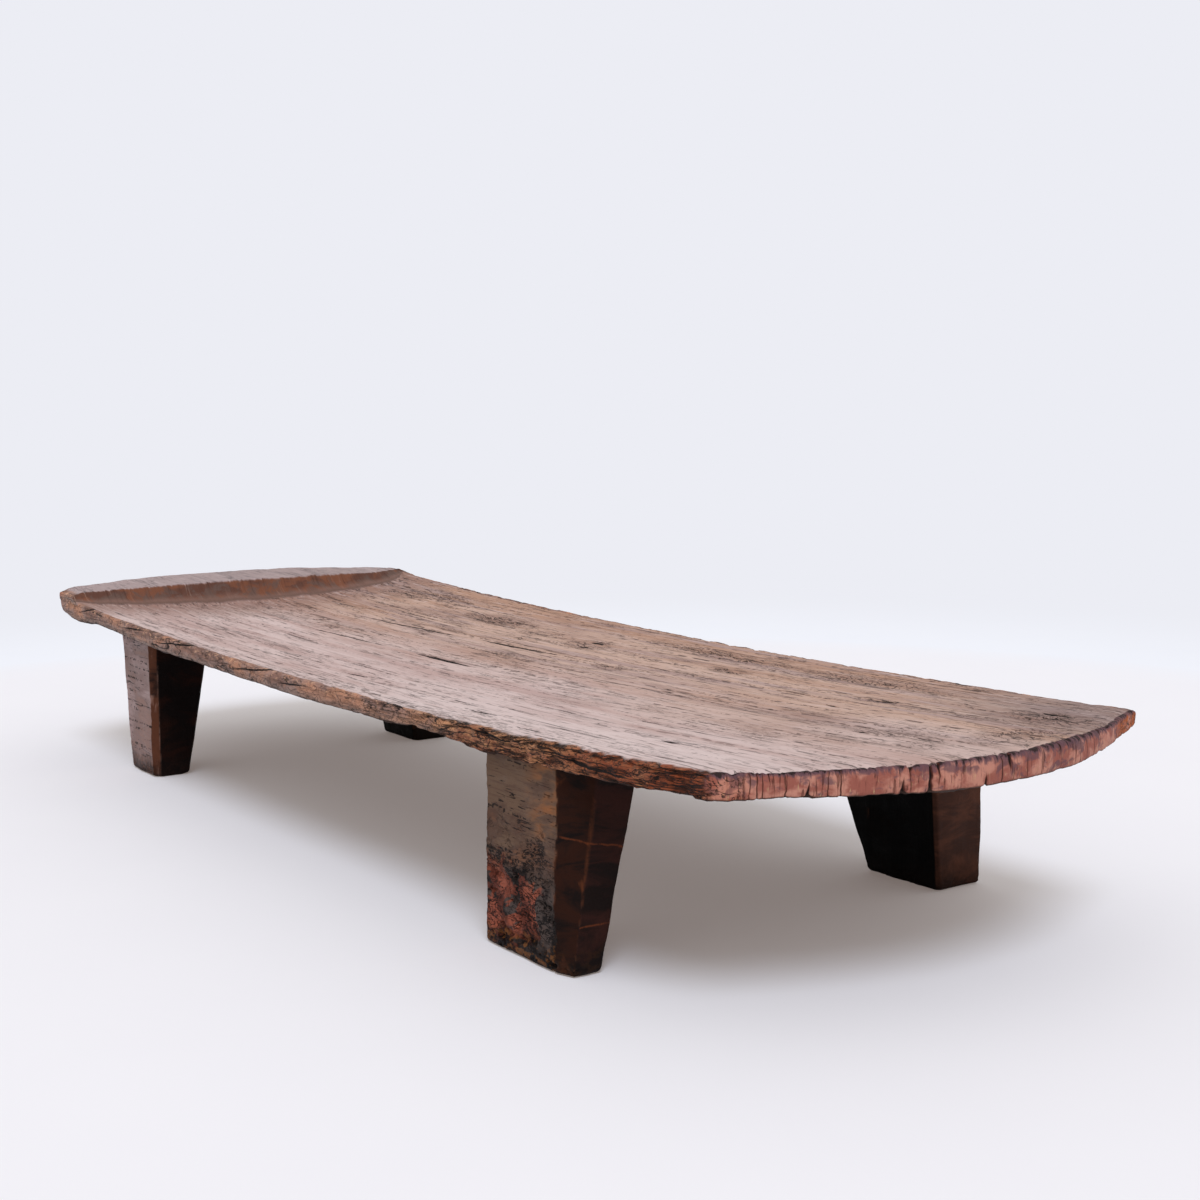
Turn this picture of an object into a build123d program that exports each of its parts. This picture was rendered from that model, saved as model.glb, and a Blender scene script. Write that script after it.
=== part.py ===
"""Senufo daybed: a low bed carved from one log, with four legs and a raised headrest.

All sizes are in millimetres. +X points along the bed to its foot end, +Y to its far long
side and +Z up. The four soles stand on z = 0, and the origin lies under the middle of the bed.
The bed is one carving, so its portions meet face to face, with no fastening between them.
"""
from build123d import *
import os

# Plan of the deck: four bowed sides, wider at the head than at the foot
length = 2100.0
head_width = 718.0
foot_width = 652.0
head_bow = 104.0            # how far the head end swells past its two corners
foot_bow = 104.0
near_bow = 18.0             # how far each long side swells past the line of its corners
far_bow = 6.0
foot_drift = 33.0           # the foot end's middle lies this far towards the far side
head_corner_radius = 46.0
foot_corner_radius = 16.0

# Height of the rim's underside over the floor
head_rim_height = 272.0
middle_rim_height = 239.5
foot_rim_height = 245.5
head_tilt = 8.0             # how much higher the far side of the rim is than the near side
foot_tilt = -5.0

# Section across the deck: a thin rim and a thicker middle, hollowed more at the head
rim_thickness = 26.0
middle_thickness = 34.0
head_dish = 23.0
foot_dish = 4.0
rim_round = 6.0

# Headrest: a low band left standing across the head end
headrest_width = 160.0      # at its middle, over its top
headrest_face_run = 22.0    # how far the foot of its inner face lies past the top edge
headrest_near_rise = 11.5   # how far its top stands over the deck's rim at the head end
headrest_middle_rise = 11.0
headrest_far_rise = 2.0
headrest_fall = 4.0         # how much lower its inner edge is than its outer edge
headrest_round = 6.0
headrest_seat = 8.0         # how far its blank runs into the deck before it is trimmed

# Legs: tapered blocks, upright outside and leaning inwards underneath
leg_foot_growth = 6.0       # how much each leg gains towards the foot end on its way up
leg_facet = 14.0            # width of the cut along each upright corner
sole_facet = 5.0            # worn edge round each sole
leg_seat = 4.0              # how far a leg's blank runs into the deck before it is trimmed

# For each leg: how far the middle of its sole stands in from the corners of its own end,
# the sole's length and depth, how far its outer face stands in from the deck's edge, how
# far its inner face leans inwards and how much it gains towards the head end on its way up
head_near_setback = 300.0
head_near_length = 142.0
head_near_depth = 50.0
head_near_inset = 43.0
head_near_lean = 42.0
head_near_growth = 38.0

head_far_setback = 254.0
head_far_length = 126.0
head_far_depth = 74.0
head_far_inset = 71.0
head_far_lean = 36.0
head_far_growth = 42.0

foot_near_setback = 314.0
foot_near_length = 170.0
foot_near_depth = 48.0
foot_near_inset = 2.0
foot_near_lean = 52.0
foot_near_growth = 12.0

foot_far_setback = 305.0
foot_far_length = 146.0
foot_far_depth = 66.0
foot_far_inset = 18.0
foot_far_lean = 30.0
foot_far_growth = 64.0

NEAR, FAR = -1, 1
head_corner_x = head_bow - length / 2
foot_corner_x = length / 2 - foot_bow
blank_margin = 30.0         # how far a blank runs past the plan before it is trimmed


def along(x):
    """Place along the bed: -1 at the head corners, +1 at the foot corners."""
    middle = (head_corner_x + foot_corner_x) / 2
    return (x - middle) / (foot_corner_x - middle)


def blend(head_value, foot_value, x):
    """A value that runs evenly from the head corners to the foot corners."""
    return (head_value + foot_value) / 2 + (foot_value - head_value) / 2 * along(x)


def middle_line(x):
    """The deck's middle, set back a little because only its far side swells past the corners."""
    return blend(0.0, foot_drift, x) - far_bow / 2


def half_width(x):
    """Half the deck's width at x, with the mean swell of its two sides."""
    swell = (near_bow + far_bow) / 2 * (1 - along(x) ** 2)
    return blend(head_width, foot_width, x) / 2 + swell


def rim_height(x, side):
    """Underside of the rim: it sags between the two ends and tilts a little across."""
    sag = (head_rim_height + foot_rim_height) / 2 - middle_rim_height
    slope = (foot_rim_height - head_rim_height) / 2
    level = middle_rim_height + slope * along(x) + sag * along(x) ** 2
    return level + side * blend(head_tilt, foot_tilt, x) / 2


def side_edge(x, side):
    """Where the deck's near or far edge runs."""
    bow = near_bow if side == NEAR else far_bow
    half = blend(head_width, foot_width, x) / 2 + bow * (1 - along(x) ** 2)
    return middle_line(x) + side * half


def across(x, y):
    """Place across the bed: -1 on the near edge of the deck, +1 on the far edge."""
    return (y - middle_line(x)) / half_width(x)


def deck_top(x, y):
    """Height of the hollow upper surface."""
    hollow = blend(head_dish, foot_dish, x) * (1 - across(x, y) ** 2)
    return rim_height(x, across(x, y)) + rim_thickness - hollow


def deck_underside(x, y):
    """Height of the rounded underside, as deep in the middle as the thickness there asks."""
    belly = middle_thickness - rim_thickness + blend(head_dish, foot_dish, x)
    return rim_height(x, across(x, y)) - belly * (1 - across(x, y) ** 2)


def deck_section(x):
    """Closed outline of the deck's blank in the plane across the bed at x."""
    centre = middle_line(x)
    reach = half_width(x) + blank_margin
    near, far = centre - reach, centre + reach
    top = [(x, y, deck_top(x, y)) for y in (near, centre, far)]
    under = [(x, y, deck_underside(x, y)) for y in (far, centre, near)]
    return make_face(Wire([
        ThreePointArc(*top),
        Line(top[-1], under[0]),
        ThreePointArc(*under),
        Line(under[-1], top[0]),
    ]))


def plan():
    """Outline of the whole bed seen from above."""
    head_near = (head_corner_x, side_edge(head_corner_x, NEAR))
    head_far = (head_corner_x, side_edge(head_corner_x, FAR))
    foot_near = (foot_corner_x, side_edge(foot_corner_x, NEAR))
    foot_far = (foot_corner_x, side_edge(foot_corner_x, FAR))

    def bowed(start, end, swell):
        """An arc that swells to the right of the way from start to end."""
        return SagittaArc(start, end, -swell)

    outline = make_face(Wire([
        bowed(head_near, foot_near, near_bow),
        bowed(foot_near, foot_far, foot_bow),
        bowed(foot_far, head_far, far_bow),
        bowed(head_far, head_near, head_bow),
    ]))
    outline = fillet(outline.vertices().sort_by(Axis.X)[:2], head_corner_radius)
    return fillet(outline.vertices().sort_by(Axis.X)[-2:], foot_corner_radius)


def headrest_height(side, rise):
    """Height of the headrest's top over the floor, from the rim's at the very head end."""
    return rim_height(-length / 2, side) + rim_thickness + rise


def plan_block():
    """A block with the bed's plan, twice as tall as the whole bed."""
    return extrude(plan(), amount=2 * headrest_height(0, headrest_middle_rise))


def make_deck():
    """The hollowed and sagging slab that one lies on."""
    stations = 7
    start = -length / 2 - blank_margin
    step = (length + 2 * blank_margin) / (stations - 1)
    blank = loft([deck_section(start + step * i) for i in range(stations)])
    slab = blank & plan_block()
    top_and_underside = slab.faces().filter_by(lambda f: abs(f.normal_at().Z) > 0.5)
    return fillet(top_and_underside.edges(), rim_round)


def headrest_section(y, height):
    """Outline of the headrest's blank in the plane along the bed at y."""
    outer = -length / 2
    inner = headrest_width - length / 2
    foot = inner + headrest_face_run
    return make_face(Polyline(
        (outer - blank_margin, y, height),
        (outer, y, height),
        (inner, y, height - headrest_fall),
        (foot, y, deck_top(foot, y) - headrest_seat),
        (outer, y, deck_top(outer, y) - headrest_seat),
        (outer - blank_margin, y, deck_top(outer, y) - headrest_seat),
        close=True,
    ))


def make_headrest(deck):
    """The raised band across the head end, standing on the hollow of the deck."""
    reach = head_width / 2 + blank_margin
    blank = loft([
        headrest_section(-reach, headrest_height(NEAR, headrest_near_rise)),
        headrest_section(0.0, headrest_height(0, headrest_middle_rise)),
        headrest_section(reach, headrest_height(FAR, headrest_far_rise)),
    ])
    band = (blank & plan_block()) - deck
    top = band.faces().filter_by(lambda f: f.normal_at().Z > 0.9)
    return fillet(top.edges(), headrest_round)


def leg_section(x, y, height, along_bed, across_bed):
    """A rectangle round (x, y) with its four corners cut off."""
    outline = Rectangle(along_bed, across_bed)
    outline = chamfer(outline.vertices(), leg_facet)
    return Pos(x, y, height) * outline


def make_leg(deck, side, station, length, depth, inset, lean, growth):
    """A tapered leg whose outer face stands upright and whose top fits the deck."""
    outer = side_edge(station, side) - side * inset
    top = rim_height(station, side) + leg_seat
    sole = leg_section(station, outer - side * depth / 2, 0.0, length, depth)
    shift = (leg_foot_growth - growth) / 2
    head = leg_section(station + shift, outer - side * (depth + lean) / 2, top,
                       length + growth + leg_foot_growth, depth + lean)
    blank = loft([sole, head], ruled=True)
    blank = chamfer(blank.faces().sort_by(Axis.Z)[0].edges(), sole_facet)
    return blank - deck


deck = make_deck()
parts = {
    "deck": deck,
    "headrest": make_headrest(deck),
    "leg_head_near": make_leg(
        deck, NEAR, head_corner_x + head_near_setback, head_near_length, head_near_depth,
        head_near_inset, head_near_lean, head_near_growth),
    "leg_head_far": make_leg(
        deck, FAR, head_corner_x + head_far_setback, head_far_length, head_far_depth,
        head_far_inset, head_far_lean, head_far_growth),
    "leg_foot_near": make_leg(
        deck, NEAR, foot_corner_x - foot_near_setback, foot_near_length, foot_near_depth,
        foot_near_inset, foot_near_lean, foot_near_growth),
    "leg_foot_far": make_leg(
        deck, FAR, foot_corner_x - foot_far_setback, foot_far_length, foot_far_depth,
        foot_far_inset, foot_far_lean, foot_far_growth),
}

os.makedirs("parts", exist_ok=True)
for name, shape in parts.items():
    export_step(shape, f"parts/{name}.step")
    box = shape.bounding_box()
    print(name, len(shape.solids()), "solid", f"{shape.volume / 1e6:.2f} dm3", box.min, box.max)
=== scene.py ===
import math
import bpy
from mathutils import Matrix, Vector


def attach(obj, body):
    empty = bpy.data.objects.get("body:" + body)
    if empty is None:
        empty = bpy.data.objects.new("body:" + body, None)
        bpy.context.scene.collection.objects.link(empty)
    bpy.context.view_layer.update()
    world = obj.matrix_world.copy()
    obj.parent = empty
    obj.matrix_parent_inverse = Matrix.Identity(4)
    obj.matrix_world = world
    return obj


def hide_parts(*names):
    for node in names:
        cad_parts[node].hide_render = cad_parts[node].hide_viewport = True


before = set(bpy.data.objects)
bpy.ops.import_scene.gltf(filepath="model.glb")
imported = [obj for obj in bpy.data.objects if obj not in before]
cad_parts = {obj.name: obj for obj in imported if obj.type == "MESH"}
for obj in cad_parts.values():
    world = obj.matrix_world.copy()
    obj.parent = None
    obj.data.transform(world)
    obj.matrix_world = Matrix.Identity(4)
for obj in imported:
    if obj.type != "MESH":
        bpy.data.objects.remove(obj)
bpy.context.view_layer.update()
near, far = -1, 1
print("frame loaded:", ", ".join(sorted(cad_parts)))


# Nodes that read like sums, for the shader trees and the geometry trees alike

class Signal:  # a socket that adds and multiplies like a number
    def __init__(self, tree, socket):
        self.tree, self.socket = tree, socket

    def __add__(self, other):
        return sums("ADD", self, other)

    def __sub__(self, other):
        return sums("SUBTRACT", self, other)

    def __rsub__(self, other):
        return sums("SUBTRACT", other, self)

    def __mul__(self, other):
        return sums("MULTIPLY", self, other)

    def __truediv__(self, other):
        return sums("DIVIDE", self, other)

    def __pow__(self, other):
        return sums("POWER", self, other)

    def __abs__(self):
        return sums("ABSOLUTE", self)

    def __neg__(self):
        return sums("MULTIPLY", self, -1.0)

    __radd__, __rmul__ = __add__, __mul__


def feed(tree, socket, value):
    if isinstance(value, Signal):
        tree.links.new(value.socket, socket)
    else:
        socket.default_value = value


def treeOf(*values):
    return next(value.tree for value in values if isinstance(value, Signal))


def sums(operation, *values):
    tree = treeOf(*values)
    made = tree.nodes.new("ShaderNodeMath")
    made.operation = operation
    for socket, value in zip(made.inputs, values):
        feed(tree, socket, value)
    return Signal(tree, made.outputs[0])


def sine(value):
    return sums("SINE", value)


def signOf(value):
    return sums("SIGN", value)


def smaller(first, second):
    return sums("MINIMUM", first, second)


def larger(first, second):
    return sums("MAXIMUM", first, second)


def node(tree, kind, values=None, out=0, **settings):
    made = tree.nodes.new(kind)
    for name, value in settings.items():
        setattr(made, name, value)
    for name, value in (values or {}).items():
        feed(tree, made.inputs[name], value)
    return Signal(tree, made.outputs[out])


def split(vector):
    parts = node(vector.tree, "ShaderNodeSeparateXYZ", {0: vector}).socket.node
    return [Signal(vector.tree, socket) for socket in parts.outputs]


def join(x, y, z):
    return node(treeOf(x, y, z), "ShaderNodeCombineXYZ", {0: x, 1: y, 2: z})


def stretch(vector, factors, shift=(0, 0, 0)):
    return node(vector.tree, "ShaderNodeVectorMath", {0: vector, 1: factors, 2: shift},
                operation="MULTIPLY_ADD")


def noise(vector, factors=None, detail=2.0, roughness=0.5, distortion=0.0, shift=(0, 0, 0)):
    if factors is not None:
        vector = stretch(vector, factors, shift)
    return node(vector.tree, "ShaderNodeTexNoise", {
        "Vector": vector, "Scale": 1.0, "Detail": detail, "Roughness": roughness,
        "Distortion": distortion})


def ramp(value, low, high, start=0.0, end=1.0, kind="SMOOTHSTEP"):
    return node(value.tree, "ShaderNodeMapRange", {
        0: value, 1: low, 2: high, 3: start, 4: end}, interpolation_type=kind)


def linear(value, low, high, start=0.0, end=1.0):
    return ramp(value, low, high, start, end, "LINEAR")


def blendValue(factor, first, second):
    return node(factor.tree, "ShaderNodeMix", {0: factor, 2: first, 3: second})


def paint(code):  # a six-figure screen colour as the linear colour that a shader takes
    parts = [int(code[i:i + 2], 16) / 255 for i in (0, 2, 4)]
    return tuple(p / 12.92 if p <= 0.04045 else ((p + 0.055) / 1.055) ** 2.4
                 for p in parts) + (1.0,)


def tint(factor, first, second):
    first, second = (paint(c) if isinstance(c, str) else c for c in (first, second))
    return node(factor.tree, "ShaderNodeMix", {0: factor, 6: first, 7: second}, out=2,
                data_type="RGBA")


def spaced(name):  # headWidth becomes Head Width
    return "".join(" " + c if c.isupper() else c for c in name).strip().title()


def openTree(name, sizes):
    tree = bpy.data.node_groups.new(name, "GeometryNodeTree")
    tree.interface.new_socket("Geometry", in_out="OUTPUT", socket_type="NodeSocketGeometry")
    for key in sizes:
        tree.interface.new_socket(spaced(key), in_out="INPUT", socket_type="NodeSocketFloat")
    entry = tree.nodes.new("NodeGroupInput")
    return tree, {key: Signal(tree, entry.outputs[spaced(key)]) for key in sizes}


def openGroup(name, inputs, outputs, kind="ShaderNodeTree"):  # its sockets are named first
    tree = bpy.data.node_groups.new(name, kind)
    kinds = {"float": "NodeSocketFloat", "vector": "NodeSocketVector", "color": "NodeSocketColor"}
    for key, (sort, value) in inputs.items():
        made = tree.interface.new_socket(key, in_out="INPUT", socket_type=kinds[sort])
        if value is not None:
            made.default_value = value
    for key, sort in outputs.items():
        tree.interface.new_socket(key, in_out="OUTPUT", socket_type=kinds[sort])
    entry = tree.nodes.new("NodeGroupInput")
    return tree, {key: Signal(tree, entry.outputs[key]) for key in inputs}


def closeGroup(tree, results):
    leave = tree.nodes.new("NodeGroupOutput")
    for key, value in results.items():
        feed(tree, leave.inputs[key], value)
    return tree


def useGroup(tree, group, values):
    made = tree.nodes.new(tree.bl_idname.replace("Tree", "Group"))
    made.node_tree = group
    for key, value in values.items():
        feed(tree, made.inputs[key], value)
    return {socket.name: Signal(tree, socket) for socket in made.outputs}


def block(tree, columns, rows, layers):  # a closed block of faces from -1 to 1 each way
    mesh = node(tree, "GeometryNodeMeshCube", {
        "Size": (2, 2, 2), "Vertices X": columns, "Vertices Y": rows, "Vertices Z": layers})
    start = node(tree, "GeometryNodeInputPosition")
    mesh = node(tree, "GeometryNodeStoreNamedAttribute", {
        "Geometry": mesh, "Name": "cell", "Value": start}, data_type="FLOAT_VECTOR",
        domain="POINT")
    return mesh, split(node(tree, "GeometryNodeInputNamedAttribute", {"Name": "cell"},
                            data_type="FLOAT_VECTOR"))


def keep(mesh, name, value):
    return node(mesh.tree, "GeometryNodeStoreNamedAttribute", {
        "Geometry": mesh, "Name": name, "Value": value}, data_type="FLOAT", domain="POINT")


def place(mesh, position):
    return node(mesh.tree, "GeometryNodeSetPosition", {"Geometry": mesh, "Position": position})


def push(mesh, offset):
    return node(mesh.tree, "GeometryNodeSetPosition", {"Geometry": mesh, "Offset": offset})


def carveAway(mesh, depth, masks, material):  # keeps the masks, cuts back and ends the tree
    tree = mesh.tree
    for name, value in masks.items():
        mesh = keep(mesh, name, value)
    outward = node(tree, "GeometryNodeInputNormal")
    mesh = push(mesh, stretch(outward, join(-depth, -depth, -depth)))
    clean = node(tree, "GeometryNodeRemoveAttribute", {"Geometry": mesh, "Name": "cell"})
    smooth = node(tree, "GeometryNodeSetShadeSmooth", {"Geometry": clean})
    plain = node(tree, "GeometryNodeRealizeInstances", {"Geometry": smooth})
    dressed = node(tree, "GeometryNodeSetMaterial", {"Geometry": plain, "Material": material})
    tree.links.new(dressed.socket, tree.nodes.new("NodeGroupOutput").inputs[0])
    return tree


def addObject(name, data):
    made = bpy.data.objects.new(name, data)
    bpy.context.scene.collection.objects.link(made)
    return made


def evaluatedMesh(holder):
    depsgraph = bpy.context.evaluated_depsgraph_get()
    return bpy.data.meshes.new_from_object(holder.evaluated_get(depsgraph), depsgraph=depsgraph)


def growPiece(name, tree, sizes, material):  # runs a tree and keeps its result as a plain mesh
    holder = addObject(name + "Holder", bpy.data.meshes.new(name + "Holder"))
    modifier = holder.modifiers.new("carve", "NODES")
    modifier.node_group = tree
    for item in tree.interface.items_tree:
        for key, value in sizes.items():
            if item.in_out == "INPUT" and item.name == spaced(key):
                modifier[item.identifier] = float(value)
    mesh = evaluatedMesh(holder)
    bpy.data.objects.remove(holder)
    mesh.name = name
    mesh.materials.clear()
    mesh.materials.append(material)
    return addObject(name, mesh)


def thinUnderside(piece, share):  # fewer faces underneath, where nothing fine is carved
    group = piece.vertex_groups.new(name="under")
    low = [v.index for v in piece.data.vertices
           if piece.data.attributes["level"].data[v.index].value < -0.999]
    group.add(low, 1.0, "REPLACE")
    thin = piece.modifiers.new("thin", "DECIMATE")
    thin.ratio, thin.vertex_group, thin.use_collapse_triangulate = share, "under", True
    mesh = evaluatedMesh(piece)
    piece.modifiers.clear()
    old, piece.data = piece.data, mesh
    bpy.data.meshes.remove(old)
    piece.vertex_groups.clear()
    mesh.name = piece.name


# The plan and the heights of the bed, for numbers and for signals alike

deckSizes = {
    "cornerX": 0.946, "headWidth": 0.718, "footWidth": 0.652, "endBow": 0.104,
    "nearBow": 0.018, "farBow": 0.006, "footDrift": 0.033, "headCut": 0.004, "footCut": 0.002,
    "nearEar": 0.008, "farEar": 0.006,
    "headRim": 0.272, "middleRim": 0.2395, "footRim": 0.2455, "headTilt": 0.008,
    "footTilt": -0.005, "rimThickness": 0.026, "middleThickness": 0.034,
    "headDish": 0.023, "footDish": 0.004, "rimRound": 0.007, "roundness": 0.55,
    "noseInset": 0.013, "noseTaper": 0.014, "noseDrop": 0.008, "farThinning": 0.0045,
    "legThickening": 0.003, "waist": 0.004, "nearBulge": 0.011,
    # how deep each kind of wear goes
    "seamDepth": 0.0035, "chipDepth": 0.0060, "crumbDepth": 0.0030, "splitDepth": 0.003,
    "fissureDepth": 0.004, "notchDepth": 0.0030, "spallDepth": 0.0018, "waveDepth": 0.006,
    "grainDepth": 0.0016, "crackDepth": 0.0030, "tornDepth": 0.0022, "pitDepth": 0.0020,
    "adzeDepth": 0.007,
}
deckFaces = (336, 216, 15)
undersideShare = 0.58  # how many of its faces the underside keeps


def along(d, x):
    return x / d["cornerX"]


def blend(d, headValue, footValue, x):
    return (headValue + footValue) / 2 + (footValue - headValue) / 2 * along(d, x)


def middleLine(d, x):
    return blend(d, 0.0, d["footDrift"], x) - d["farBow"] / 2


def swell(d, x):
    return 1.0 - along(d, x) * along(d, x)


def halfWidth(d, x):
    return (blend(d, d["headWidth"], d["footWidth"], x) / 2
            + (d["nearBow"] + d["farBow"]) / 2 * swell(d, x))


def rimHeight(d, x, side):
    sag = (d["headRim"] + d["footRim"]) / 2 - d["middleRim"]
    slope = (d["footRim"] - d["headRim"]) / 2
    level = d["middleRim"] + slope * along(d, x) + sag * along(d, x) * along(d, x)
    return level + side * blend(d, d["headTilt"], d["footTilt"], x) / 2


def acrossAt(d, x, y):
    return (y - middleLine(d, x)) / halfWidth(d, x)


def deckTop(d, x, y):
    across = acrossAt(d, x, y)
    hollow = blend(d, d["headDish"], d["footDish"], x) * (1.0 - across * across)
    return rimHeight(d, x, across) + d["rimThickness"] - hollow


def deckUnder(d, x, y):
    across = acrossAt(d, x, y)
    belly = d["middleThickness"] - d["rimThickness"] + blend(d, d["headDish"], d["footDish"], x)
    return rimHeight(d, x, across) - belly * (1.0 - across * across)


def endX(d, t):  # how far the bed reaches at t across, at either end
    return d["cornerX"] + d["endBow"] * (1.0 - t * t)


def sideY(d, x, t):
    bow = (d["nearBow"] + d["farBow"]) / 2 - t * (d["nearBow"] - d["farBow"]) / 2
    return middleLine(d, x) + t * (blend(d, d["headWidth"], d["footWidth"], x) / 2
                                   + bow * swell(d, x))


# Wear that is both carved into the meshes and painted by the shaders: each row is a crack in
# the upper surface, from (x, y) to (x, y), with its half width

topCracks = (
    (-0.494, -0.070, -0.195, -0.050, 0.0042), (-0.140, -0.050, 0.078, -0.049, 0.0064),
    (-0.607, 0.070, -0.181, 0.103, 0.0044), (-0.200, 0.103, 0.044, 0.113, 0.0060),
    (-0.582, -0.022, -0.556, 0.012, 0.0086), (0.022, -0.252, 0.090, -0.233, 0.0052),
    (-0.460, -0.259, -0.410, -0.256, 0.0032), (0.420, 0.035, 0.450, 0.039, 0.0041),
    (0.736, -0.198, 0.778, -0.198, 0.0049), (0.822, 0.006, 0.856, 0.014, 0.0046),
    (0.870, 0.011, 0.898, 0.017, 0.0037), (0.658, 0.121, 0.692, 0.116, 0.0041),
    (0.904, 0.031, 0.955, 0.027, 0.0039), (0.914, 0.246, 0.962, 0.240, 0.0054),
    (0.880, 0.268, 0.945, 0.262, 0.0049), (0.670, 0.188, 0.716, 0.194, 0.0049),
    (0.570, -0.288, 0.622, -0.284, 0.0041), (0.411, -0.262, 0.482, -0.256, 0.0037),
    (0.320, -0.240, 0.372, -0.233, 0.0034), (0.600, -0.133, 0.668, -0.130, 0.0029),
    (-0.030, 0.223, 0.008, 0.227, 0.0073), (-0.022, 0.196, 0.018, 0.187, 0.0061),
)

# Rough and knotty spots of the upper surface: x, y and how far each one reaches along and across
roughSpots = (
    (-0.010, 0.205, 0.070, 0.040), (0.195, 0.105, 0.050, 0.018), (0.350, 0.210, 0.050, 0.022),
    (0.930, 0.240, 0.090, 0.045), (0.690, 0.190, 0.060, 0.020), (-0.330, 0.230, 0.120, 0.040),
    (0.560, 0.285, 0.160, 0.030), (0.250, 0.290, 0.200, 0.030), (0.980, 0.120, 0.050, 0.080),
)

# Splits along the near edge: from (x, z) to (x, z), with their half width
rimSplits = (
    (-0.183, 0.249, 0.053, 0.272, 0.0015), (0.008, 0.250, 0.104, 0.257, 0.0015),
    (-0.629, 0.268, -0.505, 0.274, 0.0016), (-0.484, 0.258, -0.240, 0.275, 0.0016),
    (0.297, 0.265, 0.380, 0.261, 0.0015), (-0.860, 0.273, -0.742, 0.292, 0.0015),
    (0.690, 0.255, 0.850, 0.250, 0.0022), (0.520, 0.262, 0.640, 0.256, 0.0019),
)

# Fissures down the end grain of the foot end: y, half width at the top and at the bottom
footFissures = (
    (-0.298, 0.0007, 0.0006), (-0.258, 0.0010, 0.0006), (-0.251, 0.0012, 0.0010),
    (-0.246, 0.0007, 0.0010), (-0.240, 0.0014, -0.0006), (-0.224, -0.0004, 0.0015),
    (-0.203, -0.0019, 0.0037), (-0.184, 0.0007, 0.0014), (-0.172, 0.0010, 0.0012),
    (-0.106, -0.0031, 0.0050), (-0.098, 0.0038, -0.0019), (-0.075, 0.0025, 0.0035),
    (-0.065, 0.0031, -0.0012), (-0.005, -0.0025, 0.0031), (0.018, 0.0016, 0.0007),
    (0.030, 0.0040, -0.0019), (0.081, 0.0006, 0.0009), (0.115, 0.0025, -0.0019),
    (0.158, 0.0006, 0.0010), (0.212, 0.0009, -0.0002),
)


def shiftWood(vector):  # where the noise starts, in the meshes and the shaders alike
    return stretch(vector, (1, 1, 1), (3.7, 1.3, 8.1))


def dot(vector, x, y, z):
    return node(vector.tree, "ShaderNodeVectorMath", {0: vector, 1: (x, y, z)}, out=1,
                operation="DOT_PRODUCT")


def crackMask(x, y, rows, wobble):  # 1 in the middle of a crack, 0 off it
    nearest = 1.0
    spot = join(x + wobble * 0.3, y + wobble, 1.0)
    for startX, startY, endX, endY, half in rows:
        slope, reach = (endY - startY) / (endX - startX), (endX - startX) / 2
        lengthwise = dot(spot, 1.0 / reach, 0.0, -(startX + reach) / reach)
        across = dot(spot, -slope / half, 1.0 / half, (startX * slope - startY) / half)
        nearest = smaller(sums("MULTIPLY_ADD", lengthwise, lengthwise, abs(across)), nearest)
    return 1.0 - nearest


def fissureMask(y, level, wobble):  # wedges that open at the top or at the bottom
    widest = 0.0
    y, up = y + wobble, level * 0.5 + wobble + 0.5
    for middle, topHalf, lowHalf in footFissures:
        width = sums("MULTIPLY_ADD", up, topHalf - lowHalf, lowHalf)
        widest = larger(width - abs(y - middle), widest)
    return linear(widest, 0.0, 0.0020)


def spotMask(vector, rows):
    nearest = 10.0
    for x, y, reachX, reachY in rows:
        offset = stretch(vector, (1 / reachX, 1 / reachY, 0.0), (-x / reachX, -y / reachY, 0.0))
        away = node(vector.tree, "ShaderNodeVectorMath", {0: offset}, out=1, operation="LENGTH")
        nearest = smaller(away, nearest)
    return ramp(nearest, 1.2, 0.3)


def makeWearGroup(kind):  # where the cracks, splits, rough spots and fissures are
    tree, g = openGroup("wear" + kind, {
        "Vector": ("vector", None), "Level": ("float", 0.0)}, {
        "Cracks": "float", "Spots": "float", "Splits": "float", "Fissures": "float"}, kind)
    seeded = shiftWood(g["Vector"])
    x, y, z = split(g["Vector"])
    cracks = crackMask(x, y, topCracks, (noise(seeded, (12, 1, 1), 3) - 0.5) * 0.010)
    splits = crackMask(x, z, rimSplits, (noise(seeded, (30, 1, 1)) - 0.5) * 0.005)
    fissures = fissureMask(y, g["Level"], (noise(seeded, (1, 9, 45)) - 0.5) * 0.006)
    return closeGroup(tree, {
        "Cracks": cracks, "Spots": spotMask(g["Vector"], roughSpots),
        "Splits": splits * ramp(y, -0.20, -0.25), "Fissures": fissures * ramp(x, 0.90, 0.94)})


def rimRuggedness(x, y):  # how broken the side band is: worst on the near side at the foot end
    nearSide = ramp(y, -0.20, -0.25)
    nearWear = ramp(x, 0.05, 0.45, 0.16, 0.50) + ramp(x, 0.40, 0.62, 0.0, 0.50)
    return blendValue(nearSide, ramp(x, -0.9, -0.6, 0.12, 0.35), nearWear)


def roughField(vector):  # chipped and layered wood: how deep it is broken, from 0 to 1
    layers = noise(vector, (9, 9, 95), 3, 0.62, 0.4)
    chips = noise(vector, (30, 34, 48), 2, 0.55, 0.6)
    seams = 1.0 - ramp(abs(layers - 0.5), 0.0, 0.055)
    return seams, ramp(chips, 0.52, 0.72)


def edgeWave(vector):  # how the outline of the bed wanders in and out
    return (noise(vector, (3.5, 3.5, 6)) - 0.5) * 0.009 \
        + (noise(vector, (16, 16, 10)) - 0.5) * 0.003


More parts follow.
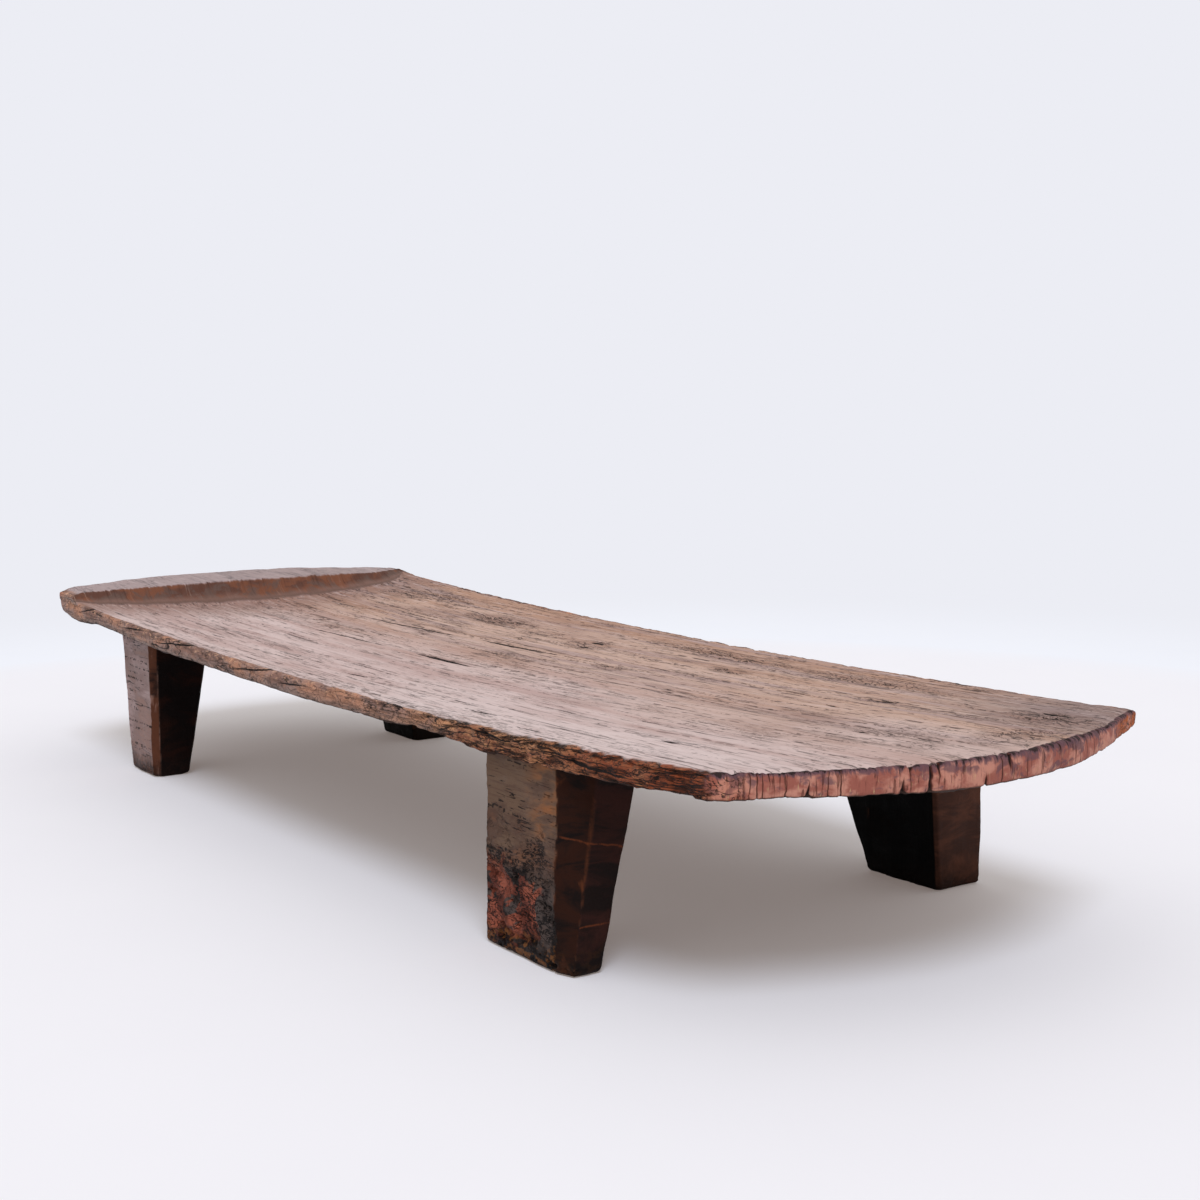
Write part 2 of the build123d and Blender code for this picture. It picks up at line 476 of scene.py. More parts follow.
def makeDeckTree(material):
    wear = makeWearGroup("GeometryNodeTree")
    tree, d = openTree("carvedDeck", deckSizes)
    mesh, (s, t, w) = block(tree, *deckFaces)
    # more rows towards the foot end and the near side
    s, t = s - (s * s - 1.0) * 0.13, t + (t * t - 1.0) * 0.13
    # the near corner of the head is rounded from below, like a nose
    nose = ramp(s, -0.90, -1.0) * ramp(t, -0.80, -1.0)
    angle = w * (math.pi / 2)
    flank = abs(sine(angle + math.pi / 2)) ** d["roundness"]  # 0 on the upper and lower faces
    lift = signOf(w) * abs(sine(angle)) ** d["roundness"]
    # squarer where the headrest stands on the edge
    covered = ramp(s, -0.92, -0.95) * ramp(w, 0.0, 0.3)
    inset = (d["rimRound"] * (1.0 - covered * 0.8)
             + nose * ramp(w, 0.2, -0.4) * d["noseInset"]) * (1.0 - flank)
    inset = inset + ramp(s, -0.945, -1.0) * nose * ramp(w, 0.3, -1.0) * d["noseTaper"]
    s0, t0 = s * (1.0 - inset), t * (1.0 - inset / 0.35)
    x = s0 * endX(d, t0)
    y = sideY(d, x, t0)
    # rounded corners in plan, more at the head
    cornering = ramp(abs(s), 0.93, 1.0) * ramp(abs(t), 0.84, 1.0)
    cut = cornering * ramp(s, -0.5, 0.5, 1.0, 0.0) * d["headCut"] + \
        cornering * ramp(s, -0.5, 0.5, 0.0, 1.0) * d["footCut"]
    # the near corner of the head and the far corner of the foot end stand out a little
    ear = ramp(s, 0.0, -0.5) * ramp(t, 0.0, -0.5)
    cut = cut - cornering * ear * d["nearEar"]
    cut = cut - cornering * ramp(s, 0.0, 0.5) * ramp(t, 0.0, 0.5) * d["farEar"]
    x, y = x - signOf(s) * cut, y - signOf(t) * cut * 1.3
    top, under = deckTop(d, x, y), deckUnder(d, x, y)
    under = under - ramp(s, -0.80, -0.92) * ramp(t, -0.75, -0.95) * d["noseDrop"]
    # thinner towards the far side of the foot end, thicker over the near leg, with a waist
    under = under + ramp(x, 0.80, 0.98) * ramp(t, -0.4, 0.7) * d["farThinning"]
    atNear = ramp(t, -0.80, -0.97)
    under = under - ramp(x, 0.40, 0.56) * atNear * d["legThickening"]
    under = under + ramp(abs(x - 0.43), 0.11, 0.03) * atNear * d["waist"]
    y = y - atNear * ramp(x, 0.24, 0.62) * ramp(x, 0.86, 0.94, 1.0, 0.35) * d["nearBulge"]
    z = (top + under) / 2 + lift * (top - under) / 2
    sideness = 1.0 - abs(w) ** 8
    onEnd = linear(abs(s), 0.9985, 1.0)
    gap = smaller((1.0 - abs(t)) * 0.35, (1.0 - abs(s)) * 1.02)
    mesh = place(mesh, join(x, y, z))

    here = node(tree, "GeometryNodeInputPosition")
    px, py = split(here)[:2]
    seeded = shiftWood(here)
    upFace, lowFace = linear(w, 0.98, 1.0), linear(w, -0.98, -1.0)
    edge = larger(sideness, (1.0 - ramp(gap, 0.0, 0.016)) * 0.8)
    rugged = rimRuggedness(px, py)
    seams, chips = roughField(seeded)
    endFace = onEnd * ramp(abs(t), 0.995, 0.97)
    carve = edge * rugged * (1.0 - endFace) * (seams * d["seamDepth"] + chips * d["chipDepth"])
    crumbs = noise(seeded, (60, 60, 150)) - 0.5
    carve = carve + edge * (rugged + 0.25) * crumbs * d["crumbDepth"]
    wander = edge * edgeWave(seeded) * (1.0 - cornering * 0.7)
    carve = carve - wander * ramp(py, 0.1, 0.3, 1.0, 0.45)
    worn = useGroup(tree, wear, {"Vector": here, "Level": lift})
    carve = carve + worn["Splits"] * sideness * d["splitDepth"]
    # fissures in the end grain of the foot end, which notch its upper edge
    byFoot = ramp(s, 0.990, 1.0)
    small = noise(seeded, (2, 110, 7), 3, 0.6)
    notches = ramp(small, 0.50, 0.68) * ramp(lift, 0.2, 1.0, 0.25, 1.0) * d["notchDepth"]
    lower = ramp(noise(seeded, (2, 30, 1)), 0.48, 0.66) * ramp(lift, -0.2, -1.0)
    endCarve = worn["Fissures"] * d["fissureDepth"] + notches + lower * d["spallDepth"]
    carve = carve + byFoot * endCarve * larger(endFace, upFace * 0.6)
    # the hollow: long cracks, worn grain and slow waves
    slow = (noise(seeded, (1.6, 5, 5)) - 0.5) * d["waveDepth"]
    grain = (noise(seeded, (10, 90, 40), 3, 0.6) - 0.5) * d["grainDepth"]
    torn = ramp(noise(seeded, (14, 34, 20), 3, 0.6), 0.58, 0.75)
    torn = torn * ramp(noise(seeded, (2.2, 5, 5)), 0.42, 0.62) * ramp(py, -0.25, 0.25, 0.4, 1.0)
    pitted = worn["Spots"] * ramp(noise(seeded, (30, 60, 20), 3, 0.6), 0.46, 0.62)
    carve = carve + upFace * (worn["Cracks"] * d["crackDepth"] - slow - grain
                              + torn * d["tornDepth"] + pitted * d["pitDepth"])
    # adze scoops underneath
    scoops = node(tree, "ShaderNodeTexVoronoi", {
        "Vector": stretch(seeded, (11, 20, 10)), "Scale": 1.0, "Smoothness": 0.35,
        "Randomness": 0.9}, feature="SMOOTH_F1")
    carve = carve + lowFace * (0.55 - scoops) * d["adzeDepth"]
    return carveAway(mesh, carve, {
        "edgeGap": gap * upFace, "level": lift, "carved": carve * 1000.0}, material)


headrestSizes = {
    "innerX": -0.890, "innerBend": -0.045, "faceRun": 0.055, "middleHeight": 0.315,
    "endDrop": 0.0045, "nearLift": 0.0005, "fall": 0.004, "bury": 0.012, "topRound": 0.007,
    "earRound": 0.010, "farDip": 0.003, "nearDip": 0.004, "leastRise": 0.004, "tuckBelow": 0.0035,
    "tuckAbove": -0.0006,
    "seamDepth": 0.0030, "chipDepth": 0.0040, "markDepth": 0.0024, "faceWave": 0.005,
    "grainDepth": 0.0014,
}
headrestFaces = (44, 216, 26)


def makeHeadrestTree(material):
    sizes = {**deckSizes, **headrestSizes}
    tree, d = openTree("carvedHeadrest", sizes)
    mesh, (u, t, w) = block(tree, *headrestFaces)
    t = t + (t * t - 1.0) * 0.10
    k = (w + 1.0) / 2
    share = (u + 1.0) / 2
    # the top edges are rounded by drawing the plan in towards them
    rounding = 1.0 - (1.0 - linear(k, 0.72, 1.0) ** 2.2) ** 0.5
    onSide = smaller(1.0, linear(abs(t), 0.9985, 1.0)
                     + linear(abs(u), 0.9985, 1.0))
    rounding = rounding * (d["topRound"] + ramp(t, -0.90, -1.0) * d["earRound"])
    t0 = t * (1.0 - rounding / 0.35)
    outerX = -endX(d, t0) + rounding
    cornering = ramp(u, -0.2, -1.0) * ramp(abs(t), 0.84, 1.0)
    cut = cornering * (d["headCut"] - ramp(t, 0.0, -0.5) * d["nearEar"])
    topZ = d["middleHeight"] - d["endDrop"] * t * t - d["nearLift"] * t - share * d["fall"]
    topZ = topZ - ramp(t, 0.95, 1.0) * d["farDip"] - ramp(t, -0.955, -1.0) * d["nearDip"]
    # its inner edge bends back to the deck's corner at the far end
    innerX = d["innerX"] + ramp(t, 0.70, 1.0) * d["innerBend"]
    flatX = outerX + (innerX - outerX) * share
    y = sideY(d, flatX, t0)
    footZ = deckTop(d, flatX, y)
    topZ = larger(topZ, footZ + d["leastRise"])
    z = footZ - d["bury"] + (topZ - footZ + d["bury"]) * k
    rise = (z - footZ) / (topZ - footZ)
    # the inner face is steep above and runs out flat into the deck below
    lean = smaller(1.0 - rise, 1.12)
    run = d["faceRun"] * ramp(abs(t), 1.0, 0.86, 0.35, 1.0)
    spread = (lean ** 3.4 * 0.75 + lean * 0.25) * run - rounding
    # tucked into the deck's side below, flush with it above
    tuck = ramp(k, 0.0, 0.42, d["tuckBelow"], d["tuckAbove"])
    x = flatX + spread * share + (1.0 - share) * tuck + cut
    y = sideY(d, x, t0) - signOf(t) * ramp(abs(t), 0.95, 1.0) * tuck - signOf(t) * cut * 1.3
    z = z + deckTop(d, x, y) - footZ
    mesh = place(mesh, join(x, y, z))

    here = node(tree, "GeometryNodeInputPosition")
    px, py = split(here)[:2]
    seeded = shiftWood(here)
    edge = onSide * (1.0 - linear(u, 0.99, 1.0))
    inner = linear(u, 0.9985, 1.0)
    upFace = linear(w, 0.98, 1.0)
    seams, chips = roughField(seeded)
    broken = seams * d["seamDepth"] + chips * d["chipDepth"]
    carve = edge * (rimRuggedness(px, py) * broken - edgeWave(seeded))
    # tool marks down the inner face
    marks = noise(seeded, (6, 60, 10), 2, 0.55)
    steep = ramp(rise, 0.15, 0.45) * ramp(rise, 1.0, 0.80, 0.4, 1.0)
    hewn = (noise(seeded, (4, 14, 4)) - 0.5) * d["faceWave"]
    carve = carve + inner * steep * ((marks - 0.5) * d["markDepth"] + hewn)
    slow = (noise(seeded, (8, 6, 5), 3) - 0.5) * d["waveDepth"]
    grain = (noise(seeded, (10, 90, 40), 3, 0.6) - 0.5) * d["grainDepth"]
    carve = carve - upFace * (slow + grain)
    return carveAway(mesh, carve, {
        "sideness": edge, "innerFace": inner, "level": rise, "carved": carve * 1000.0}, material)


# Legs: station is the middle of the sole, side is -1 for near and 1 for far. The cut is the
# broad facet that runs down the outer corner on the foot side, where a leg has one

legSizes = {
    "station": 0.0, "outerY": 0.0, "side": 1.0, "soleLength": 0.15, "soleDepth": 0.05,
    "lean": 0.04, "headGrowth": 0.04, "footGrowth": 0.006, "height": 0.25, "facet": 0.005,
    "cutAlong": 0.001, "cutAlongTop": 0.0, "cutAcross": 0.001, "cutAcrossTop": 0.0,
    "soleRound": 0.007, "wear": 0.5, "chipping": 0.3, "bend": 0.0, "seed": 1.0,
    "rubbing": 0.0, "scoopDepth": 0.0032, "waveDepth": 0.004, "pitDepth": 0.0045,
    "footPitDepth": 0.004, "fibreDepth": 0.0026,
}
legFaces = (72, 40, 104)
legTenon = 0.004  # how far a leg runs up into the deck


def makeLegTree(material, name):
    tree, d = openTree(name, legSizes)
    mesh, (u, v, w) = block(tree, *legFaces)
    k = (w + 1.0) / 2
    z = k * d["height"]
    worn = smaller(1.0, z / d["soleRound"])
    inset = d["soleRound"] * (1.0 - (1.0 - (1.0 - worn) ** 2) ** 0.5)
    lengthHere = d["soleLength"] + (d["headGrowth"] + d["footGrowth"]) * k - inset * 2
    depthHere = d["soleDepth"] + d["lean"] * k - inset * 2
    middleX = d["station"] + (d["footGrowth"] - d["headGrowth"]) / 2 * k
    outerHere = d["outerY"] - d["side"] * inset
    px = u * lengthHere / 2
    py = v * depthHere / 2
    wander = noise(join(k * 5.0, d["seed"], u * 0.3)) - 0.5
    facet = d["facet"] * (1.0 + wander)
    excess = larger(abs(px) + abs(py) - (lengthHere / 2 + depthHere / 2 - facet), 0.0)
    px = px - signOf(px) * excess / 2
    py = py - signOf(py) * excess / 2
    # the broad facet
    cutAlong = d["cutAlong"] + d["cutAlongTop"] * k * k * k + wander * d["cutAlong"] * 1.3
    cutAcross = d["cutAcross"] + d["cutAcrossTop"] * k
    past = (px - lengthHere / 2) / cutAlong + (py * d["side"] - depthHere / 2) / cutAcross + 1.0
    beyond = larger(past, 0.0)
    px = px - cutAlong * beyond / 2
    py = py - d["side"] * cutAcross * beyond / 2
    # the head-side edge is straight above and drawn in below
    bend = d["bend"] * (1.0 - k) * (1.0 - k) * ramp(u, 0.0, -1.0)
    x = middleX + px + bend
    y = outerHere - d["side"] * depthHere / 2 + py
    mesh = place(mesh, join(x, y, z))

    here = node(tree, "GeometryNodeInputPosition")
    seeded = node(tree, "ShaderNodeVectorMath", {
        0: here, 1: join(d["seed"], d["seed"] * 0.37, 0.0)}, operation="ADD")
    facingX, facingY = split(node(tree, "GeometryNodeInputNormal"))[:2]
    scoops = node(tree, "ShaderNodeTexVoronoi", {
        "Vector": stretch(seeded, (22, 22, 14)), "Scale": 1.0, "Smoothness": 0.25,
        "Randomness": 0.9}, feature="SMOOTH_F1")
    wave = (noise(seeded, (8, 8, 7)) - 0.5) * d["waveDepth"]
    onSole = linear(w, -0.985, -1.0)
    onCut = ramp(beyond, 0.0, 0.06)
    outerFace = ramp(facingY * d["side"], 0.45, 0.8) * (1.0 - onCut)
    pits = ramp(noise(seeded, (45, 45, 70), 3, 0.6), 0.55, 0.70)
    low = ramp(k, 0.62, 0.30) * outerFace * d["pitDepth"]
    lowest = ramp(k, 0.14, 0.03) * d["footPitDepth"]
    carve = (scoops - 0.4) * -d["scoopDepth"] + wave
    carve = carve + pits * d["chipping"] * (low + lowest)
    fibres = noise(seeded, (12, 12, 120), 3, 0.6)
    carve = carve + outerFace * (fibres - 0.5) * d["fibreDepth"] * (d["wear"] + 0.3)
    carve = carve * (1.0 - onSole * 0.9) * ramp(z, 0.0, 0.004, 0.05, 1.0)
    return carveAway(mesh, carve, {
        "outerFace": outerFace, "cutFace": onCut,
        "endFace": ramp(facingX, 0.45, 0.8) * (1.0 - onCut),
        "rim": (1.0 - ramp(abs(past), 0.0, 0.14)) * d["rubbing"],
        "arris": ramp(excess, 0.0, 0.002) * (1.0 - onCut)}, material)


# Finishes: groups that more than one wood uses

def makeGrainGroup():
    tree, g = openGroup("grain", {
        "Vector": ("vector", None), "Openness": ("float", 0.5)}, {
        "Streaks": "float", "Broad": "float", "Pores": "float", "Cracks": "float",
        "Height": "float"})
    where = g["Vector"]
    streaks = noise(where, (10, 210, 210), 4, 0.70, 0.2)
    broad = noise(where, (2.4, 20, 20), 4, 0.6, 0.5)
    # short dark pores that gather in bands along the grain
    bands = noise(where, (2.5, 24, 24), 3, 0.6, shift=(3, 1, 5))
    dashes = noise(where, (34, 300, 300), 2, 0.55)
    least = 0.68 - g["Openness"] * 0.10 - (bands - 0.5) * 0.26
    pores = ramp(dashes - least, 0.0, 0.05)
    # dotted rows
    rows = noise(where, (4, 150, 150), shift=(6, 2, 1))
    dots = noise(where, (170, 150, 150), 1, shift=(1, 7, 3))
    dotted = ramp(rows + (bands - 0.5) * 0.3, 0.60, 0.65) * ramp(dots, 0.50, 0.58)
    # hairline cracks
    lines = noise(where, (6, 95, 95), 3, 0.55, 0.3)
    lines = 1.0 - ramp(abs(lines - 0.5), 0.004, 0.016)
    places = noise(where, (9, 55, 55), shift=(4, 2, 7))
    cracks = lines * ramp(places, 0.55, 0.62)
    height = streaks * 0.5 - pores * 0.6 - dotted * 0.5 - cracks
    return closeGroup(tree, {
        "Streaks": streaks, "Broad": broad, "Pores": larger(pores, dotted),
        "Cracks": cracks, "Height": height})


def makeCheckGroup():  # short curved checks and crumbs, where the wood is knotty or broken
    tree, g = openGroup("checks", {"Vector": ("vector", None)}, {
        "Checks": "float", "Crumbs": "float", "Height": "float"})
    net = noise(g["Vector"], None, 3, 0.6, 1.2)
    checks = 1.0 - ramp(abs(net - 0.5), 0.006, 0.030)
    crumbs = noise(g["Vector"], (3, 3, 3), 4, 0.7)
    return closeGroup(tree, {
        "Checks": checks, "Crumbs": ramp(crumbs, 0.54, 0.64),
        "Height": (crumbs - 0.5) * 0.8 - checks})


def makeBrokenGroup():  # layered, splintered wood along a worn edge
    tree, g = openGroup("brokenEdge", {"Vector": ("vector", None)}, {
        "Seams": "float", "Flakes": "float", "Tone": "float", "Height": "float"})
    seams, chips = roughField(shiftWood(g["Vector"]))
    fine = noise(g["Vector"], (34, 34, 190), 4, 0.65, 0.9)
    thin = 1.0 - ramp(abs(fine - 0.5), 0.0, 0.035)
    crumbs = noise(g["Vector"], (120, 120, 190), 4, 0.7)
    tone = noise(g["Vector"], (9, 9, 26), 4, 0.6, 0.5, shift=(2, 5, 1))
    height = (fine - 0.5) * 0.9 + (crumbs - 0.5) * 0.5 - seams * 0.8 - chips * 0.3
    return closeGroup(tree, {
        "Seams": smaller(1.0, seams * 0.8 + thin * 0.7), "Flakes": ramp(crumbs, 0.48, 0.66),
        "Tone": tone, "Height": height})


def makeEndGrainGroup():  # weathered ends, with fine fibres that run up and down
    tree, g = openGroup("endGrain", {"Vector": ("vector", None)}, {
        "Lines": "float", "Dark": "float", "Blotch": "float", "Flecks": "float",
        "Height": "float"})
    lines = noise(g["Vector"], (4, 260, 16), 4, 0.65, 0.3)
    blotch = noise(g["Vector"], (8, 30, 34), 4, 0.6, 0.4)
    flecks = noise(g["Vector"], (60, 330, 70), 3, 0.6)
    places = noise(g["Vector"], (3, 40, 50), shift=(1, 3, 8))
    dark = ramp(lines - (places - 0.5) * 0.5, 0.60, 0.68)
    height = (lines - 0.5) * 0.9 + (flecks - 0.5) * 0.4 - dark * 0.6
    return closeGroup(tree, {
        "Lines": lines, "Dark": dark, "Blotch": blotch, "Flecks": ramp(flecks, 0.60, 0.72),
        "Height": height})


def openMaterial(name):
    material = bpy.data.materials.new(name)
    material.use_nodes = True
    tree = material.node_tree
    tree.nodes.clear()
    where = node(tree, "ShaderNodeTexCoord", out=3)
    return material, tree, where


def attribute(tree, name):
    return node(tree, "ShaderNodeAttribute", out=2, attribute_name=name)


finishSizes = {"deckBump": 0.0016, "legBump": 0.0014, "deckGloss": 0.25, "legGloss": 0.08,
               "floorGloss": 0.1, "floorRoughness": 0.9}
endBand = (0.936, 0.948)  # where the long sides turn into the ends, along x


def closeMaterial(tree, color, roughness, height, kind):
    bump = node(tree, "ShaderNodeBump", {
        "Height": height, "Distance": finishSizes[kind + "Bump"], "Strength": 1.0})
    shader = tree.nodes.new("ShaderNodeBsdfPrincipled")
    feed(tree, shader.inputs["Base Color"], color)
    feed(tree, shader.inputs["Roughness"], roughness)
    feed(tree, shader.inputs["Normal"], bump)
    shader.inputs["Specular IOR Level"].default_value = finishSizes[kind + "Gloss"]
    leave = tree.nodes.new("ShaderNodeOutputMaterial")
    tree.links.new(shader.outputs[0], leave.inputs[0])


grainGroup = makeGrainGroup()
checkGroup = makeCheckGroup()
brokenGroup = makeBrokenGroup()
endGrainGroup = makeEndGrainGroup()
wearGroup = makeWearGroup("ShaderNodeTree")

topTones = {
    "bleached": "e0d0cc", "pale": "d2bbb5", "pink": "bc9e97", "sand": "c2a18f",
    "ochre": "b08871", "deep": "8c685b", "grey": "8a7672", "plum": "a58a84", "ash": "b0a3a5",
    "pore": "3f2a23", "crack": "170d0a",
}
rimTones = {
    "orange": "b37f64", "mauve": "987b71", "brown": "7d5748", "grey": "85766f",
    "rust": "8a4b28", "ember": "853a17", "amber": "c0875a", "pale": "d6a684", "dark": "1c0f0a",
}
endTones = {
    "pink": "935446", "pale": "b97e6b", "red": "7b4236", "yellow": "b8966e",
    "purple": "5e4147", "orange": "a8531f", "wound": "542a1f", "dark": "1e0f0b",
}
underTones = {"brown": "4a2f24", "dark": "26170f"}


def makeTopGroup():  # the upper surface
    tree, g = openGroup("weatheredTop", {"Vector": ("vector", None)}, {
        "Color": "color", "Height": "float"})
    where = g["Vector"]
    x, y = split(where)[:2]
    worn = useGroup(tree, wearGroup, {"Vector": where})
    drift = noise(where, (1.6, 3.4, 3.4), 3, 0.55, 0.6, shift=(5, 2, 9))
    farness = ramp(y + (drift - 0.5) * 0.40, -0.16, 0.16)
    grain = useGroup(tree, grainGroup, {"Vector": where, "Openness": farness * 0.16 + 0.28})
    coarse = useGroup(tree, grainGroup, {
        "Vector": stretch(where, (0.30, 0.72, 0.72), (7.3, 3.1, 2.2)),
        "Openness": farness * 0.12 + 0.02})
    nearColor = tint(ramp(grain["Broad"], 0.36, 0.60), topTones["pink"], topTones["pale"])
    farColor = tint(ramp(coarse["Broad"], 0.40, 0.60), topTones["ochre"], topTones["sand"])
    color = tint(farness, nearColor, farColor)
    color = tint(ramp(y, -0.10, -0.28) * ramp(x, 0.0, 0.4) * 0.45, color, topTones["bleached"])
    # painted shade: darker and browner at the head's foot, where the headrest shades the deck;
    # browner also in the far corner of the foot end
    color = tint(ramp(x, -0.62, -0.84) * 0.8, color, topTones["deep"])
    bands = noise(where, (1.8, 34, 34), 4, 0.6, 0.4, shift=(4, 4, 1))
    color = tint(ramp(bands, 0.50, 0.64) * farness * 0.8, color, topTones["plum"])
    corner = ramp(x + (drift - 0.5) * 0.5, 0.55, 0.98) * ramp(y + (drift - 0.5) * 0.3, 0.13, 0.30)
    color = tint(corner * 0.85, color, topTones["grey"])
    color = tint(ramp(drift, 0.54, 0.70) * farness * 0.45, color, topTones["deep"])
    color = tint(ramp(grain["Streaks"], 0.52, 0.68) * 0.42, color, topTones["deep"])
    color = tint(ramp(grain["Streaks"], 0.48, 0.34) * 0.45, color, topTones["pale"])
    color = tint(ramp(coarse["Streaks"], 0.54, 0.70) * 0.25, color, topTones["grey"])
    color = tint(ramp(x, 0.70, 0.84) * ramp(abs(y - 0.03), 0.11, 0.03) * 0.5, color,
                 topTones["pale"])
    checks = useGroup(tree, checkGroup, {"Vector": stretch(where, (26, 70, 70))})
    patch = noise(where, (3.5, 9, 9), 3, 0.6, shift=(2, 2, 2))
    broken = larger(worn["Spots"], ramp(patch, 0.56, 0.66) * (farness * 0.7 + 0.15))
    color = tint(broken * 0.35, color, topTones["deep"])
    quiet = farness * 0.40 + 0.60
    color = tint(smaller(1.0, (grain["Pores"] * 0.75 + coarse["Pores"] * 0.75) * quiet), color,
                 topTones["pore"])
    dark = larger(checks["Checks"] * broken, grain["Cracks"] * 0.8)
    color = tint(smaller(1.0, dark * 0.9 + coarse["Cracks"] * 0.5), color, topTones["crack"])
    color = tint(ramp(worn["Cracks"], 0.10, 0.45), color, topTones["crack"])
    height = grain["Height"] + coarse["Height"] * 1.2 - worn["Cracks"] * 1.5
    return closeGroup(tree, {"Color": color, "Height": height + checks["Height"] * broken})


def makeRimGroup():  # the long sides, which are worn at the head and broken at the foot
    tree, g = openGroup("wornRim", {
        "Vector": ("vector", None), "Level": ("float", 0.0), "Carved": ("float", 0.0)}, {
        "Color": "color", "Height": "float"})
    where, level = g["Vector"], g["Level"]
    x, y = split(where)[:2]
    worn = useGroup(tree, wearGroup, {"Vector": where})
    broken = useGroup(tree, brokenGroup, {"Vector": where})
    checks = useGroup(tree, checkGroup, {"Vector": stretch(where, (34, 34, 60))})
    rugged = rimRuggedness(x, y)
    color = tint(ramp(broken["Tone"], 0.44, 0.62), rimTones["mauve"], rimTones["orange"])
    color = tint(ramp(broken["Tone"], 0.50, 0.40) * 0.7, color, rimTones["brown"])
    warm = ramp(rugged, 0.3, 0.8)
    color = tint(warm * 0.75, color,
                 tint(ramp(broken["Tone"], 0.42, 0.58), rimTones["rust"], rimTones["amber"]))
    color = tint(ramp(level, 0.2, -0.9) * (1.0 - warm) * 0.6, color, rimTones["grey"])
    color = tint(checks["Crumbs"] * ramp(level, -0.1, 0.7) * 0.80, color, rimTones["pale"])
    color = tint(broken["Flakes"] * ramp(rugged, 0.2, 0.9, 0.3, 0.7), color,
                 tint(warm, rimTones["orange"], rimTones["amber"]))
    # rusty and nearly black towards the near corner of the foot end
    burnt = ramp(x, 0.56, 0.86) * ramp(y, -0.15, -0.25)
    color = tint(burnt * ramp(broken["Tone"], 0.28, 0.48) * 0.9, color, rimTones["ember"])
    # long thin cracks that wander along the band
    paths = noise(where, (10, 10, 46), 3, 0.55, 0.8, shift=(1, 4, 6))
    places = noise(where, (7, 7, 20), shift=(3, 9, 2))
    wandering = (1.0 - ramp(abs(paths - 0.5), 0.004, 0.020)) * ramp(places, 0.46, 0.54)
    color = tint(wandering * 0.95, color, rimTones["dark"])
    net = checks["Checks"] * ramp(rugged, 0.1, 0.8, 0.6, 0.9)
    color = tint(net, color, rimTones["dark"])
    color = tint(checks["Crumbs"] * ramp(rugged, 0.3, 0.9) * 0.45, color, rimTones["dark"])
    color = tint(broken["Seams"] * ramp(rugged, 0.15, 0.8, 0.30, 1.0), color, rimTones["dark"])
    color = tint(ramp(worn["Splits"], 0.10, 0.40), color, rimTones["dark"])
    # painted shade: darker where the carving goes deepest
    color = tint(ramp(g["Carved"], 3.0, 8.0) * 0.75, color, rimTones["dark"])
    height = broken["Height"] * ramp(rugged, 0.1, 0.8, 0.8, 1.8)
    height = height - wandering - worn["Splits"] * 2.0
    return closeGroup(tree, {"Color": color, "Height": height})


def makeEndGroup():  # the end grain
    tree, g = openGroup("wornEnd", {"Vector": ("vector", None), "Level": ("float", 0.0)}, {
        "Color": "color", "Height": "float"})
    where, level = g["Vector"], g["Level"]
    x, y = split(where)[:2]
    ends = useGroup(tree, endGrainGroup, {"Vector": where})
    worn = useGroup(tree, wearGroup, {"Vector": where, "Level": level})
    color = tint(ramp(ends["Blotch"], 0.42, 0.58), endTones["pink"], endTones["pale"])
    color = tint(ramp(ends["Lines"], 0.52, 0.66) * 0.55, color, endTones["red"])
    mottle = noise(where, (9, 45, 60), 3, 0.6, 0.6, shift=(8, 8, 8))
    color = tint(ramp(mottle + level * 0.05, 0.48, 0.60) * 0.75, color, endTones["purple"])
    flecks = ends["Flecks"] * ramp(mottle, 0.40, 0.52, 0.3, 1.0) * ramp(level, 0.7, -0.2)
    color = tint(flecks * 0.9, color, endTones["yellow"])
    # porous rot and rust by both corners
    byFoot = ramp(x, -0.5, 0.5)
    farCorner = ramp(y, 0.262, 0.300) * byFoot
    corners = larger(ramp(y, -0.250, -0.275) * byFoot, farCorner)
    pits = useGroup(tree, checkGroup, {"Vector": stretch(where, (26, 44, 44))})
    color = tint((farCorner * 0.8 + corners * 0.2) * ramp(mottle, 0.32, 0.46), color,
                 endTones["orange"])
    color = tint(corners * larger(pits["Crumbs"], pits["Checks"]) * 0.9, color,
                 endTones["dark"])
    color = tint(ends["Dark"] * 0.6, color, endTones["wound"])
    # a serrated purple line along the upper edge
    teeth = noise(where, (3, 150, 60), 3, 0.65)
    color = tint(ramp(level + (teeth - 0.5) * 1.5, 0.50, 0.85) * 0.9, color, endTones["purple"])
    color = tint(ramp(level + (teeth - 0.5) * 2.2, 0.86, 1.06) * 0.9, color, endTones["dark"])
    color = tint(ramp(level + (teeth - 0.5) * 1.5, -0.75, -1.0) * 0.5, color, endTones["red"])
    color = tint(ramp(worn["Fissures"], 0.02, 0.40), color, endTones["wound"])
    color = tint(ramp(worn["Fissures"], 0.40, 0.90), color, endTones["dark"])
    height = ends["Height"] * 1.3 - worn["Fissures"] * 1.6
    return closeGroup(tree, {"Color": color, "Height": height})


topGroup, rimGroup, endGroup = makeTopGroup(), makeRimGroup(), makeEndGroup()


